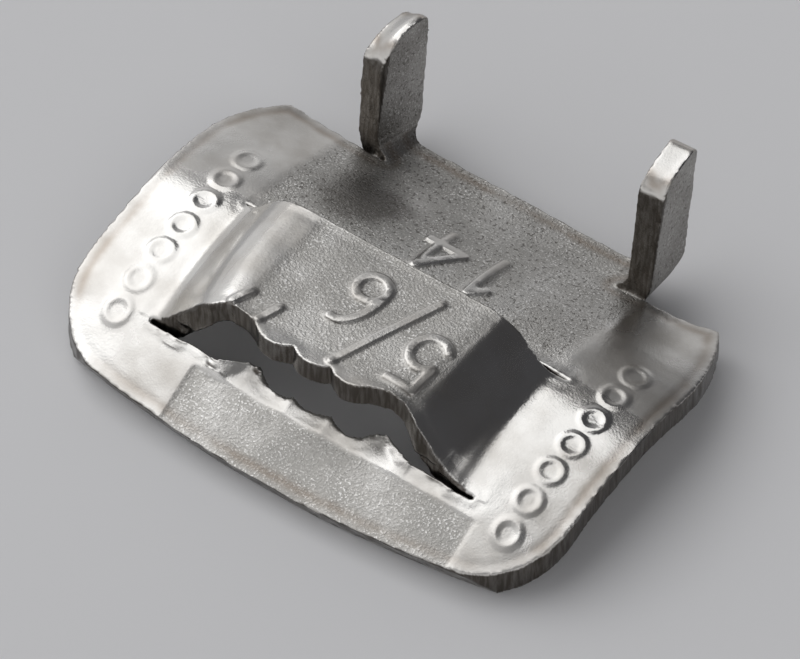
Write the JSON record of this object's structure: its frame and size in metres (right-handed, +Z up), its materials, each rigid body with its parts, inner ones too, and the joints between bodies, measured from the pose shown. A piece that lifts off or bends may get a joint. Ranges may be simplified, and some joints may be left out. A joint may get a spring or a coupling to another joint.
{
  "type": "locking clip",
  "caption": "Locking clip for steel band, pressed from one piece of sheet: an arched plate with a raised bridge that the band passes under, and upright ears that fold over it.",
  "frame": {"origin": "middle of the footprint, on the surface that the clip rests on", "axes": "+X along the clip, +Y the way the band runs, from the front lip to the ears, +Z up"},
  "size_m": [0.022, 0.0184, 0.0072],
  "materials": {
    "stainless": "bright, tumbled, with a fine grained surface"
  },
  "bodies": {
    "root": {"clip_body": "stainless"}
  },
  "joints": []
}
